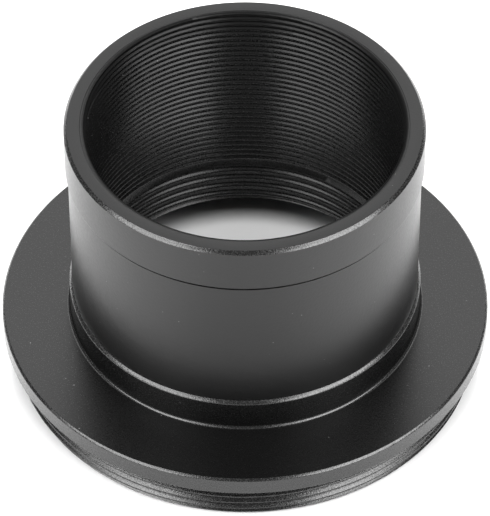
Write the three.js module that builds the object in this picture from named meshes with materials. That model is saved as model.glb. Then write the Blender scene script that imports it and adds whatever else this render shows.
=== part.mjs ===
// A push-in nosepiece adapter for telescopes, turned from aluminium and anodised black.
// Three turned pieces share one vertical axis:
//   flange_ring       a flange with a collar above it and a threaded skirt below it
//   nosepiece_barrel  the tube, whose lower spigot screws into the collar
//   barrel_end_ring   a short ring on the tube's upper spigot, a little wider than the tube
// Millimetres, +Z up. The origin is on the axis, in the plane that the skirt stands on.

import * as THREE from 'three';

// Heights above the plane that the part stands on.
const totalHeight = 28.0;
const flangeBottom = 4.1;
const flangeTop = 5.9;
const webBottom = 4.6;
const collarTop = 9.15;
const endRingSeam = 23.25;
const upperSpigotTop = 26.2;

// Radii from the axis.
const endRingRadius = 15.85;
const barrelRadius = 15.6;
const boreRadius = 13.95;
const mouthRadius = 14.36;
const collarRadius = 15.87;
const flangeRadius = 22.05;
const skirtInnerRadius = 19.4;
const skirtCrestRadius = 20.95;
const skirtRootRadius = 20.5;
const skirtEndRadius = 20.65;
const skirtReliefRadius = 20.3;
const ridgeRootRadius = 14.3;

// The two screwed joints: a spigot and its socket lie on either side of this radius.
const jointRadius = 15.0;
const jointClearance = 0.3;
const spigotRadius = jointRadius - jointClearance / 2;
const socketRadius = jointRadius + jointClearance / 2;
const seamGap = 0.16;

// Edges.
const rimChamfer = 0.3;
const collarChamfer = collarRadius - barrelRadius;
const flangeTopChamfer = 0.2;
const flangeBottomChamfer = 0.08;
const footFillet = 0.32;
const skirtLeadIn = 0.12;
const webFillet = 0.5;
const reliefFillet = 0.15;
const stopFaceInset = 0.1;

// Threads, drawn as rings. The skirt carries M42 x 0.75.
const skirtPitch = 0.75;
const skirtTurns = 4;
const firstSkirtCrest = 0.87;
const skirtReliefBottom = 3.6;
const ridgePitch = 1.0;
const ridgeTurns = 4;
const firstRidgeCrest = 5.3;

// Facets around the axis: a multiple of four, so that the widest points lie on X and Y.
const facets = 72;

// Turns a closed outline of [radius, height] points, listed anticlockwise, about the Z axis.
function turned(name, outline, finish) {
  const points = [...outline, outline[0]].map(([radius, height]) => new THREE.Vector2(radius, height));
  const geometry = new THREE.LatheGeometry(points, facets);
  geometry.rotateX(Math.PI / 2);
  const mesh = new THREE.Mesh(geometry, new THREE.MeshStandardMaterial(finish));
  mesh.name = name;
  return mesh;
}

// The crests and roots of a ring thread, from the lowest crest to the highest.
function threadOutline(firstCrest, pitch, turns, crestRadius, rootRadius) {
  const crestHalf = pitch / 8;
  const points = [];
  for (let turn = 0; turn < turns; turn += 1) {
    const crest = firstCrest + turn * pitch;
    points.push([rootRadius, crest - pitch / 2]);
    points.push([crestRadius, crest - crestHalf]);
    points.push([crestRadius, crest + crestHalf]);
  }
  points.push([rootRadius, firstCrest + (turns - 0.5) * pitch]);
  return points;
}

// The skirt, its thread and relief, the flange, and the collar that takes the tube's spigot.
function flangeRing() {
  const thread = threadOutline(firstSkirtCrest, skirtPitch, skirtTurns, skirtCrestRadius, skirtRootRadius);
  const outline = [
    [skirtInnerRadius, 0],
    [skirtEndRadius, 0],
    [skirtEndRadius + skirtLeadIn, skirtLeadIn],
    ...thread,
    [skirtReliefRadius, skirtReliefBottom],
    [skirtReliefRadius, flangeBottom - reliefFillet],
    [skirtCrestRadius + stopFaceInset, flangeBottom],
    [flangeRadius - flangeBottomChamfer, flangeBottom],
    [flangeRadius, flangeBottom + flangeBottomChamfer],
    [flangeRadius, flangeTop - flangeTopChamfer],
    [flangeRadius - flangeTopChamfer, flangeTop],
    [collarRadius + footFillet, flangeTop],
    [collarRadius, flangeTop + footFillet],
    [collarRadius, collarTop - collarChamfer],
    [collarRadius - collarChamfer, collarTop],
    [socketRadius, collarTop],
    [socketRadius, webBottom],
    [skirtInnerRadius - webFillet, webBottom],
    [skirtInnerRadius, webBottom - webFillet],
  ];
  return turned('flange_ring', outline, { color: 0x1b1b1c, roughness: 0.42, metalness: 0.85 });
}

// The tube, with a spigot at each end and light-trapping ridges inside the lower one.
function nosepieceBarrel() {
  const ridges = threadOutline(firstRidgeCrest, ridgePitch, ridgeTurns, boreRadius, ridgeRootRadius);
  const outline = [
    [boreRadius, webBottom],
    [spigotRadius, webBottom],
    [spigotRadius, collarTop + seamGap],
    [barrelRadius, collarTop + seamGap],
    [barrelRadius, endRingSeam - seamGap / 2],
    [spigotRadius, endRingSeam - seamGap / 2],
    [spigotRadius, upperSpigotTop],
    [boreRadius, upperSpigotTop],
    ...ridges.reverse(),
  ];
  return turned('nosepiece_barrel', outline, { color: 0x1d1d1e, roughness: 0.38, metalness: 0.85 });
}

// The ring at the mouth: a chamfered rim above a socket for the tube's upper spigot.
function barrelEndRing() {
  const mouthDepth = mouthRadius - boreRadius;
  const socketTop = upperSpigotTop + jointClearance;
  const outline = [
    [socketRadius, endRingSeam + seamGap / 2],
    [endRingRadius, endRingSeam + seamGap / 2],
    [endRingRadius, totalHeight - rimChamfer],
    [endRingRadius - rimChamfer, totalHeight],
    [mouthRadius, totalHeight],
    [boreRadius, totalHeight - mouthDepth],
    [boreRadius, socketTop],
    [socketRadius, socketTop],
  ];
  return turned('barrel_end_ring', outline, { color: 0x1d1d1e, roughness: 0.38, metalness: 0.85 });
}

const adapter = new THREE.Group();
adapter.add(flangeRing(), nosepieceBarrel(), barrelEndRing());

export default adapter;
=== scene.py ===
# A black nosepiece adapter: a flanged ring, the tube that screws into it and the ring at the tube's mouth.
# Pieces are modelled in millimetres, and each is brought to metres as its last step.

import math

import bmesh
import bpy
from mathutils import Matrix, Vector


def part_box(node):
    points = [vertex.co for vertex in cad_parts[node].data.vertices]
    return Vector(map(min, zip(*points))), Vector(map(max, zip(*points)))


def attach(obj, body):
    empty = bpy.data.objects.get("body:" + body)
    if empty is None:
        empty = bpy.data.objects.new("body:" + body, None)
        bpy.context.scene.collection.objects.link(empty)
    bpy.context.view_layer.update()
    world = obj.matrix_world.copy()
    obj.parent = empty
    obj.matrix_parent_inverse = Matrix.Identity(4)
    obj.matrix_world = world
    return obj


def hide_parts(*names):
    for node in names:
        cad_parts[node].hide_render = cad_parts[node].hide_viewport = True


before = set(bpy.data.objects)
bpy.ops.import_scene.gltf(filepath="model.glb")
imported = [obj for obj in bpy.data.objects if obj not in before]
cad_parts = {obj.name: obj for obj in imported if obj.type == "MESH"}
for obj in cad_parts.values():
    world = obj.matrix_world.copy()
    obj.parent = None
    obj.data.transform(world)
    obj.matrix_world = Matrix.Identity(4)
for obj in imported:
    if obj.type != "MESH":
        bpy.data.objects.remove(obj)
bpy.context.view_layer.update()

MM = 0.001

# A turned piece is made of equal sectors. Points closer than the sewing distance, in mm, become one.
SECTORS = 15
FACETS = 16 * SECTORS
SEWING = 0.004

# The camera stands in front of the part, above the rim, and looks down on it: mm, metres and degrees.
FOCAL_LENGTH = 302.7
CAMERA_BACK, CAMERA_ABOVE_RIM = 0.2715, 0.2639
CAMERA_PITCH, CAMERA_LEAN = 45.97, 0.13

# The lights are aimed at this point on the axis, and the floor lies just below the part. Metres.
AIM = (0, 0, 0.012)
FLOOR_RADIUS, FLOOR_DROP = 1.5, 0.00003

# ---------------------------------------------------------------- sizes taken from the frame, in mm

flange_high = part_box("flange_ring")[1] / MM
barrel_low, barrel_high = (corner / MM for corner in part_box("nosepiece_barrel"))
ring_low, ring_high = (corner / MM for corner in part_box("barrel_end_ring"))

FLANGE_RADIUS = flange_high.x
END_RING_RADIUS = ring_high.x
BARREL_RADIUS = barrel_high.x
RIM_TOP = ring_high.z
COLLAR_TOP = flange_high.z
WEB_BOTTOM = barrel_low.z

# Where the pieces meet: at the collar, at the seam below the end ring, and at the spigot's seat inside it.
COLLAR_GAP = 0.04
SEAM_GAP = 0.26
SEAM = ring_low.z + 0.03
SEAT = barrel_high.z + 0.2
SEAT_GAP = 0.04

# ---------------------------------------------------------------- sizes of the turned details, in mm

FLANGE_BOTTOM, FLANGE_TOP = 4.1, 5.9
FLANGE_TOP_CHAMFER, FLANGE_BOTTOM_CHAMFER = 0.2, 0.08
COLLAR_RADIUS = 15.87
COLLAR_CHAMFER = COLLAR_RADIUS - BARREL_RADIUS
FOOT_FILLET = 0.32
RIM_CHAMFER = 0.3
MOUTH_RADIUS = 14.36
MOUTH_LINE = 0.05
MOUTH_SLOPE = 0.42
SEAM_ROUND = 0.2
SKIRT_INNER = 19.4
WEB_FILLET = 0.5

# Threads and ridges. The phase is the height at which one of the crests crosses the X axis.
BORE_PITCH, BORE_CREST, BORE_ROOT, BORE_PHASE = 0.6, 13.95, 14.13, 0.15
BORE_THREAD_LOW, BORE_END_DEPTH = 9.5, 0.8
SEAT_RUN = 0.03
SKIRT_PITCH, SKIRT_CREST, SKIRT_ROOT, SKIRT_PHASE = 0.75, 20.95, 20.49, 0.31
SKIRT_RELIEF, SKIRT_THREAD_TOP, SKIRT_END_RADIUS = 20.3, 3.6, 20.57
RIDGE_PITCH, RIDGE_CREST, RIDGE_ROOT, RIDGE_PHASE = 1.0, 13.95, 14.27, 0.96
RIDGE_LOW, RIDGE_HIGH = 4.75, 9.0
JOINT_PITCH = 0.75
SPIGOT_CREST, SPIGOT_ROOT = 14.95, 14.65
SOCKET_CREST, SOCKET_ROOT = 15.05, 15.35

# How far past an edge its faces are looked for, when they get a material of their own.
NEAR = 0.05


# ---------------------------------------------------------------- camera, lights and floor

def place_camera():
    data = bpy.data.cameras.new("camera")
    data.sensor_width = 36
    data.lens = FOCAL_LENGTH
    data.clip_start = 0.01
    camera = bpy.data.objects.new("camera", data)
    camera.location = (0, -CAMERA_BACK, RIM_TOP * MM + CAMERA_ABOVE_RIM)
    tilt = Matrix.Rotation(math.radians(90 - CAMERA_PITCH), 3, "X")
    lean = Matrix.Rotation(math.radians(-CAMERA_LEAN), 3, "Z")
    camera.rotation_euler = (tilt @ lean).to_euler()
    bpy.context.collection.objects.link(camera)
    bpy.context.scene.camera = camera


def softbox(name, place, size, watts, mirrored=True):
    """A rectangular light aimed at the part. One that isn't mirrored doesn't show in glossy surfaces, so it
    lights little but the matt floor."""
    data = bpy.data.lights.new(name, "AREA")
    data.shape = "RECTANGLE"
    data.size, data.size_y = size
    data.energy = watts
    light = bpy.data.objects.new(name, data)
    light.location = place
    light.rotation_euler = (Vector(AIM) - Vector(place)).to_track_quat("-Z", "Y").to_euler()
    light.visible_glossy = mirrored
    bpy.context.collection.objects.link(light)


def light_studio():
    world = bpy.data.worlds.new("white studio")
    world.use_nodes = True
    world.node_tree.nodes["Background"].inputs["Color"].default_value = (1, 1, 1, 1)
    world.node_tree.nodes["Background"].inputs["Strength"].default_value = 0.13
    bpy.context.scene.world = world
    softbox("left softbox", (-0.435, -0.328, 0.366), (0.6, 0.2), 1.45)
    softbox("right softbox", (0.435, -0.328, 0.366), (0.6, 0.2), 1.8)
    softbox("upper left softbox", (-0.33, -0.22, 0.58), (0.3, 0.25), 1.1)
    softbox("upper right softbox", (0.33, -0.22, 0.58), (0.3, 0.25), 1.2)
    softbox("back panel", (0, 0.7, 0.7), (1.2, 0.8), 5.6)
    softbox("overhead fill", (0, -0.325, 0.73), (0.3, 0.3), 3.5, mirrored=False)
    softbox("back floor fill", (0, 0.5, 0.5), (0.3, 0.3), 5.0, mirrored=False)
    softbox("left floor fill", (-0.4, 0.1, 0.26), (0.2, 0.2), 0.9, mirrored=False)
    softbox("right floor fill", (0.4, 0.1, 0.26), (0.2, 0.2), 0.9, mirrored=False)
    bpy.context.scene.view_settings.view_transform = "Standard"


def lay_floor():
    bm = bmesh.new()
    bmesh.ops.create_circle(bm, cap_ends=True, radius=FLOOR_RADIUS, segments=96)
    bmesh.ops.translate(bm, verts=bm.verts, vec=(0, 0, -FLOOR_DROP))
    mesh = bpy.data.meshes.new("floor")
    bm.to_mesh(mesh)
    bm.free()
    floor = bpy.data.objects.new("floor", mesh)
    mesh.materials.append(paper_white())
    bpy.context.collection.objects.link(floor)


# ---------------------------------------------------------------- materials

DYED_BLACK, DUST_GREY = "0d0d0d", "8c8c8c"

# Dust lies in cells of this width, in mm, and each grain reaches this share of the width from its centre.
DUST_CELL, DUST_REACH = 1.4, 0.045

# The width, in mm, of the grain that makes cut edges glint.
GLINT = 0.12


def linear(code):
    """An sRGB hex colour as linear RGBA."""
    shares = [int(code[i:i + 2], 16) / 255 for i in (0, 2, 4)]
    return [s / 12.92 if s <= 0.04045 else ((s + 0.055) / 1.055) ** 2.4 for s in shares] + [1]


def blank(name):
    material = bpy.data.materials.new(name)
    material.use_nodes = True
    return material, material.node_tree, material.node_tree.nodes["Principled BSDF"]


def add(tree, kind, settings=None, values=None, links=None):
    """Adds a node: settings are its properties, values its sockets, and links what feeds its sockets."""
    node = tree.nodes.new(kind)
    for key, value in (settings or {}).items():
        setattr(node, key, value)
    for key, value in (values or {}).items():
        node.inputs[key].default_value = value
    for key, source in (links or {}).items():
        tree.links.new(source, node.inputs[key])
    return node


def paper_white():
    """Matt white sweep paper, which scatters light evenly and has no gloss."""
    material, tree, shader = blank("matt white paper")
    shader.inputs["Base Color"].default_value = linear("f2f2f2")
    shader.inputs["Roughness"].default_value = 1.0
    shader.inputs["Specular IOR Level"].default_value = 0.0
    return material


def anodised(part, roughness, index=1.5, grain=0.15, grain_depth=0.004):
    """Black anodised aluminium with a fine satin grain: a deep grey with a soft sheen. The index sets the
    strength of the sheen, and was chosen. A few pale grains of dust, about a tenth of a millimetre wide, lie
    on it."""
    material, tree, shader = blank("black anodised aluminium, " + part)
    shader.inputs["IOR"].default_value = index
    place = add(tree, "ShaderNodeTexCoord")
    grains = add(tree, "ShaderNodeTexNoise", None, {"Scale": 1 / (grain * MM), "Detail": 2.0},
                 {"Vector": place.outputs["Object"]})
    sheen = add(tree, "ShaderNodeMapRange", None,
                {"From Min": 0.3, "From Max": 0.7, "To Min": roughness - 0.03, "To Max": roughness + 0.03},
                {"Value": grains.outputs["Fac"]})
    relief = add(tree, "ShaderNodeBump", None, {"Strength": 0.3, "Distance": grain_depth * MM},
                 {"Height": grains.outputs["Fac"]})
    cells = add(tree, "ShaderNodeTexVoronoi", None, {"Scale": 1 / (DUST_CELL * MM)},
                {"Vector": place.outputs["Object"]})
    dust = add(tree, "ShaderNodeValToRGB", None, None, {"Fac": cells.outputs["Distance"]})
    dust.color_ramp.elements[0].color = linear(DUST_GREY)
    dust.color_ramp.elements[1].color = linear(DYED_BLACK)
    dust.color_ramp.elements[1].position = DUST_REACH
    tree.links.new(dust.outputs["Color"], shader.inputs["Base Color"])
    tree.links.new(sheen.outputs["Result"], shader.inputs["Roughness"])
    tree.links.new(relief.outputs["Normal"], shader.inputs["Normal"])
    return material


def cut_edge(part, index):
    """Black anodised aluminium on a chamfer, a thread or the flange's wall. Its index was chosen above that of
    the other faces, so that it shows brighter than they do. Its fine uneven grain makes it glint."""
    material, tree, shader = blank("black anodised aluminium, " + part)
    shader.inputs["Base Color"].default_value = linear(DYED_BLACK)
    shader.inputs["IOR"].default_value = index
    place = add(tree, "ShaderNodeTexCoord")
    glints = add(tree, "ShaderNodeTexNoise", None, {"Scale": 1 / (GLINT * MM), "Detail": 1.0},
                 {"Vector": place.outputs["Object"]})
    gloss = add(tree, "ShaderNodeMapRange", None,
                {"From Min": 0.35, "From Max": 0.65, "To Min": 0.16, "To Max": 0.32},
                {"Value": glints.outputs["Fac"]})
    relief = add(tree, "ShaderNodeBump", None, {"Strength": 0.8, "Distance": 0.012 * MM},
                 {"Height": glints.outputs["Fac"]})
    tree.links.new(gloss.outputs["Result"], shader.inputs["Roughness"])
    tree.links.new(relief.outputs["Normal"], shader.inputs["Normal"])
    return material


# ---------------------------------------------------------------- turning

# A bend sharper than the first is a corner to round, and one sharper than the second is shaded as an edge.
CORNER, SHARP = math.radians(20), math.radians(50)

# Above this lean, which is 0 on an upright wall and 1 on a level face, a face counts as level.
LEVEL = 0.97

# One pitch of a thread: the share of the pitch, and the share of the depth from crest to root.
THREAD_FORM = (
    (-0.13, 0.10),
    (-0.06, 0.0),
    (0.06, 0.0),
    (0.13, 0.10),
    (0.30, 0.90),
    (0.40, 1.0),
    (0.60, 1.0),
    (0.70, 0.90),
)

# One pitch of the rounded ridges in the lower bore.
RIDGE_FORM = (
    (-0.12, 0.10),
    (-0.04, 0.0),
    (0.02, 0.0),
    (0.09, 0.10),
    (0.18, 0.50),
    (0.28, 0.90),
    (0.36, 1.0),
    (0.58, 1.0),
    (0.68, 0.90),
)


def radius_of(vert):
    return math.hypot(vert.co.x, vert.co.y)


def chain(bm, outline):
    """A line of edges through the outline's [radius, height] points, and its vertices."""
    verts = [bm.verts.new((radius, 0, height)) for radius, height in outline]
    edges = [bm.edges.new(pair) for pair in zip(verts, verts[1:])]
    return verts + edges


def sweep_round(bm, outline, rise=0):
    """Sweeps an outline once round the axis, climbing by rise, and gives the new vertices. One sector is
    swept first, and then it is repeated."""
    before = set(bm.verts)
    turning = {"cent": (0, 0, 0), "axis": (0, 0, 1), "use_merge": False, "use_normal_flip": False}
    line = chain(bm, outline)
    bmesh.ops.spin(bm, geom=line, dvec=(0, 0, rise / FACETS), angle=math.tau / SECTORS,
                   steps=FACETS // SECTORS, use_duplicate=False, **turning)
    verts = [vert for vert in bm.verts if vert not in before]
    sector = verts + list({edge for vert in verts for edge in vert.link_edges})
    sector += list({face for vert in verts for face in vert.link_faces})
    bmesh.ops.spin(bm, geom=sector, dvec=(0, 0, rise / SECTORS), angle=math.tau * (SECTORS - 1) / SECTORS,
                   steps=SECTORS - 1, use_duplicate=True, **turning)
    bmesh.ops.remove_doubles(bm, verts=[vert for vert in bm.verts if vert not in before], dist=SEWING)
    return [vert for vert in bm.verts if vert not in before]


def turn(bm, outline, softness=0.04):
    """Turns an outline about the axis, and rounds its corners."""
    turned = sweep_round(bm, outline)
    around = {edge for vert in turned for edge in vert.link_edges if edge.is_manifold}
    corners = [edge for edge in around if abs(edge.verts[0].co.z - edge.verts[1].co.z) < SEWING
               and abs(radius_of(edge.verts[0]) - radius_of(edge.verts[1])) < SEWING
               and edge.calc_face_angle(0) > CORNER]
    bmesh.ops.bevel(bm, geom=corners, offset=softness, offset_type="OFFSET", segments=3, profile=0.5,
                    affect="EDGES", clamp_overlap=True, material=-1)


def wind_thread(bm, low, high, pitch, crest, root, phase, start=(1, 0.3), stop=(1, 0.3), form=THREAD_FORM):
    """Winds a right-hand thread about the axis. Each end gives the depth there, as a share of the full depth,
    and the height over which it runs out. A depth of 0 fades the thread into its crest, and a depth of 1
    into its root."""
    turns = range(math.floor((low - phase) / pitch) - 2, math.ceil((high - phase) / pitch) + 1)
    outline = [(crest + (root - crest) * depth, phase + (turn + share) * pitch)
               for turn in turns for share, depth in form]
    wound = sweep_round(bm, outline, pitch)
    for vert in wound:
        radius = radius_of(vert)
        height = min(max(vert.co.z, low), high)
        depth = (radius - crest) / (root - crest)
        for distance, (end, run) in ((height - low, start), (high - height, stop)):
            share = min(distance / run, 1)
            depth = end + (depth - end) * share
        scale = (crest + (root - crest) * depth) / radius
        vert.co = (vert.co.x * scale, vert.co.y * scale, height)
    bmesh.ops.remove_doubles(bm, verts=wound, dist=SEWING)


def arc(centre, radius, start, stop, steps=4):
    """Points on an arc in the [radius, height] plane, with its angles in degrees."""
    angles = [math.radians(start + (stop - start) * step / steps) for step in range(steps + 1)]
    return [(centre[0] + radius * math.cos(angle), centre[1] + radius * math.sin(angle)) for angle in angles]


def cut_faces(bm, inner, outer, low, high, least_lean=0.2, material=1):
    """Gives the faces between these radii and heights another of the piece's materials. Level faces are left
    out, and so are faces more upright than the least lean."""
    for face in bm.faces:
        centre = face.calc_center_median()
        within = low < centre.z < high and inner < math.hypot(centre.x, centre.y) < outer
        if within and least_lean <= abs(face.normal.z) < LEVEL:
            face.material_index = material


def finish_piece(bm, name, body, materials, cuts=()):
    """Sews the turned stretches together, brings the piece to metres and puts it on its body."""
    bmesh.ops.remove_doubles(bm, verts=bm.verts, dist=SEWING)
    bmesh.ops.recalc_face_normals(bm, faces=bm.faces)
    for cut in cuts:
        cut_faces(bm, *cut)
    bmesh.ops.scale(bm, vec=(MM, MM, MM), verts=bm.verts)
    open_edges = sum(not edge.is_manifold for edge in bm.edges)
    if open_edges:
        print(name, "has open edges:", open_edges)
    mesh = bpy.data.meshes.new(name)
    bm.to_mesh(mesh)
    bm.free()
    mesh.shade_smooth()
    mesh.set_sharp_from_angle(angle=SHARP)
    for material in materials:
        mesh.materials.append(material)
    piece = bpy.data.objects.new(name, mesh)
    bpy.context.collection.objects.link(piece)
    weighted = piece.modifiers.new("even shading", "WEIGHTED_NORMAL")
    weighted.keep_sharp = True
    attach(piece, body)
    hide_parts(body)


# ---------------------------------------------------------------- the three pieces

def flange_ring():
    bm = bmesh.new()
    socket_low, socket_high = WEB_BOTTOM + 0.2, COLLAR_TOP - 0.2
    lead_in = SKIRT_CREST - SKIRT_END_RADIUS
    wind_thread(bm, 0, SKIRT_THREAD_TOP, SKIRT_PITCH, SKIRT_CREST, SKIRT_ROOT, SKIRT_PHASE,
                start=(lead_in / (SKIRT_CREST - SKIRT_ROOT), lead_in))
    turn(bm, [
        (SKIRT_ROOT, SKIRT_THREAD_TOP),
        (SKIRT_RELIEF, SKIRT_THREAD_TOP + 0.1),
        (SKIRT_RELIEF, FLANGE_BOTTOM - 0.15),
        (SKIRT_CREST + 0.1, FLANGE_BOTTOM),
        (FLANGE_RADIUS - FLANGE_BOTTOM_CHAMFER, FLANGE_BOTTOM),
        (FLANGE_RADIUS, FLANGE_BOTTOM + FLANGE_BOTTOM_CHAMFER),
        (FLANGE_RADIUS, FLANGE_TOP - FLANGE_TOP_CHAMFER),
        (FLANGE_RADIUS - FLANGE_TOP_CHAMFER, FLANGE_TOP),
        *arc((COLLAR_RADIUS + FOOT_FILLET, FLANGE_TOP + FOOT_FILLET), FOOT_FILLET, 270, 180, 6),
        (COLLAR_RADIUS, COLLAR_TOP - COLLAR_CHAMFER),
        (COLLAR_RADIUS - COLLAR_CHAMFER, COLLAR_TOP),
        (SOCKET_ROOT, COLLAR_TOP),
        (SOCKET_ROOT, socket_high),
    ])
    wind_thread(bm, socket_low, socket_high, JOINT_PITCH, SOCKET_CREST, SOCKET_ROOT, 0)
    turn(bm, [
        (SOCKET_ROOT, socket_low),
        (SOCKET_ROOT, WEB_BOTTOM),
        *arc((SKIRT_INNER - WEB_FILLET, WEB_BOTTOM - WEB_FILLET), WEB_FILLET, 90, 0),
        (SKIRT_INNER, 0),
        (SKIRT_END_RADIUS, 0),
    ])
    thread = (SKIRT_RELIEF, SKIRT_CREST + NEAR, 0, SKIRT_THREAD_TOP)
    collar = (COLLAR_RADIUS - COLLAR_CHAMFER - NEAR, COLLAR_RADIUS + NEAR,
              COLLAR_TOP - COLLAR_CHAMFER - NEAR, COLLAR_TOP)
    foot = (COLLAR_RADIUS, COLLAR_RADIUS + FOOT_FILLET, FLANGE_TOP, FLANGE_TOP + FOOT_FILLET)
    edge = (FLANGE_RADIUS - FLANGE_TOP_CHAMFER - NEAR, FLANGE_RADIUS,
            FLANGE_TOP - FLANGE_TOP_CHAMFER - NEAR, FLANGE_TOP)
    wall = (FLANGE_RADIUS - NEAR, FLANGE_RADIUS + NEAR, FLANGE_BOTTOM, FLANGE_TOP - FLANGE_TOP_CHAMFER, 0, 2)
    finish_piece(bm, "turned_flange_ring", "flange_ring",
                 [anodised("flange", 0.28), cut_edge("chamfers", 2.0), cut_edge("turned wall", 1.62)],
                 cuts=[thread, collar, foot, edge, wall])


def nosepiece_barrel():
    bm = bmesh.new()
    shoulder = COLLAR_TOP + COLLAR_GAP
    lip = SEAM - SEAM_GAP / 2
    top = SEAT - SEAT_GAP / 2
    lower_low, lower_high = WEB_BOTTOM + 0.1, shoulder - 0.5
    upper_low, upper_high = lip + 0.4, top - 0.1
    turn(bm, [
        (RIDGE_CREST, RIDGE_LOW),
        (RIDGE_CREST, WEB_BOTTOM + 0.15),
        (RIDGE_CREST + 0.15, WEB_BOTTOM),
        (SPIGOT_ROOT, WEB_BOTTOM),
        (SPIGOT_ROOT, lower_low),
    ])
    wind_thread(bm, lower_low, lower_high, JOINT_PITCH, SPIGOT_CREST, SPIGOT_ROOT, 0)
    turn(bm, [
        (SPIGOT_ROOT, lower_high),
        (SPIGOT_ROOT, shoulder),
        (BARREL_RADIUS, shoulder),
        (BARREL_RADIUS, lip),
        (SPIGOT_ROOT, lip),
        (SPIGOT_ROOT, upper_low),
    ])
    wind_thread(bm, upper_low, upper_high, JOINT_PITCH, SPIGOT_CREST, SPIGOT_ROOT, 0)
    turn(bm, [
        (SPIGOT_ROOT, upper_high),
        (SPIGOT_ROOT, top),
        (BORE_ROOT, top),
    ], 0.02)
    wind_thread(bm, BORE_THREAD_LOW, top, BORE_PITCH, BORE_CREST, BORE_ROOT, BORE_PHASE,
                start=(BORE_END_DEPTH, 0.3), stop=(1, SEAT_RUN))
    turn(bm, [
        (BORE_CREST + (BORE_ROOT - BORE_CREST) * BORE_END_DEPTH, BORE_THREAD_LOW),
        (RIDGE_CREST, RIDGE_HIGH),
    ])
    wind_thread(bm, RIDGE_LOW, RIDGE_HIGH, RIDGE_PITCH, RIDGE_CREST, RIDGE_ROOT, RIDGE_PHASE,
                start=(0, 0.25), stop=(0, 0.2), form=RIDGE_FORM)
    finish_piece(bm, "turned_nosepiece_barrel", "nosepiece_barrel",
                 [anodised("tube", 0.32, 1.42, 0.25, 0.03), anodised("bore", 0.28, grain_depth=0.0015)],
                 cuts=[(BORE_CREST - NEAR, RIDGE_ROOT + NEAR, WEB_BOTTOM, barrel_high.z, 0)])


def barrel_end_ring():
    bm = bmesh.new()
    lip = SEAM + SEAM_GAP / 2
    shoulder = SEAT + SEAT_GAP / 2
    socket_low, socket_high = lip + 0.2, shoulder - 0.3
    mouth_low = RIM_TOP - MOUTH_LINE - MOUTH_SLOPE * (MOUTH_RADIUS - BORE_ROOT)
    wind_thread(bm, shoulder, mouth_low, BORE_PITCH, BORE_CREST, BORE_ROOT, BORE_PHASE,
                start=(1, SEAT_RUN), stop=(1, 0.24))
    turn(bm, [
        (BORE_ROOT, mouth_low),
        (MOUTH_RADIUS, RIM_TOP - MOUTH_LINE / 2),
        (MOUTH_RADIUS + MOUTH_LINE * 0.7, RIM_TOP - MOUTH_LINE),
        (MOUTH_RADIUS + MOUTH_LINE * 1.6, RIM_TOP),
        (END_RING_RADIUS - RIM_CHAMFER, RIM_TOP),
        (END_RING_RADIUS, RIM_TOP - RIM_CHAMFER),
        *arc((END_RING_RADIUS - SEAM_ROUND, lip + SEAM_ROUND), SEAM_ROUND, 0, -90, 5),
        (SOCKET_ROOT, lip),
        (SOCKET_ROOT, socket_low),
    ])
    wind_thread(bm, socket_low, socket_high, JOINT_PITCH, SOCKET_CREST, SOCKET_ROOT, 0)
    turn(bm, [
        (SOCKET_ROOT, socket_high),
        (SOCKET_ROOT, shoulder),
        (BORE_ROOT, shoulder),
    ], 0.02)
    rim_edge = (END_RING_RADIUS - RIM_CHAMFER - NEAR, END_RING_RADIUS, RIM_TOP - RIM_CHAMFER - NEAR, RIM_TOP)
    finish_piece(bm, "turned_barrel_end_ring", "barrel_end_ring",
                 [anodised("end ring", 0.31, 1.43, 0.25, 0.03), cut_edge("rim chamfer", 2.0)],
                 cuts=[rim_edge])


place_camera()
light_studio()
lay_floor()
flange_ring()
nosepiece_barrel()
barrel_end_ring()
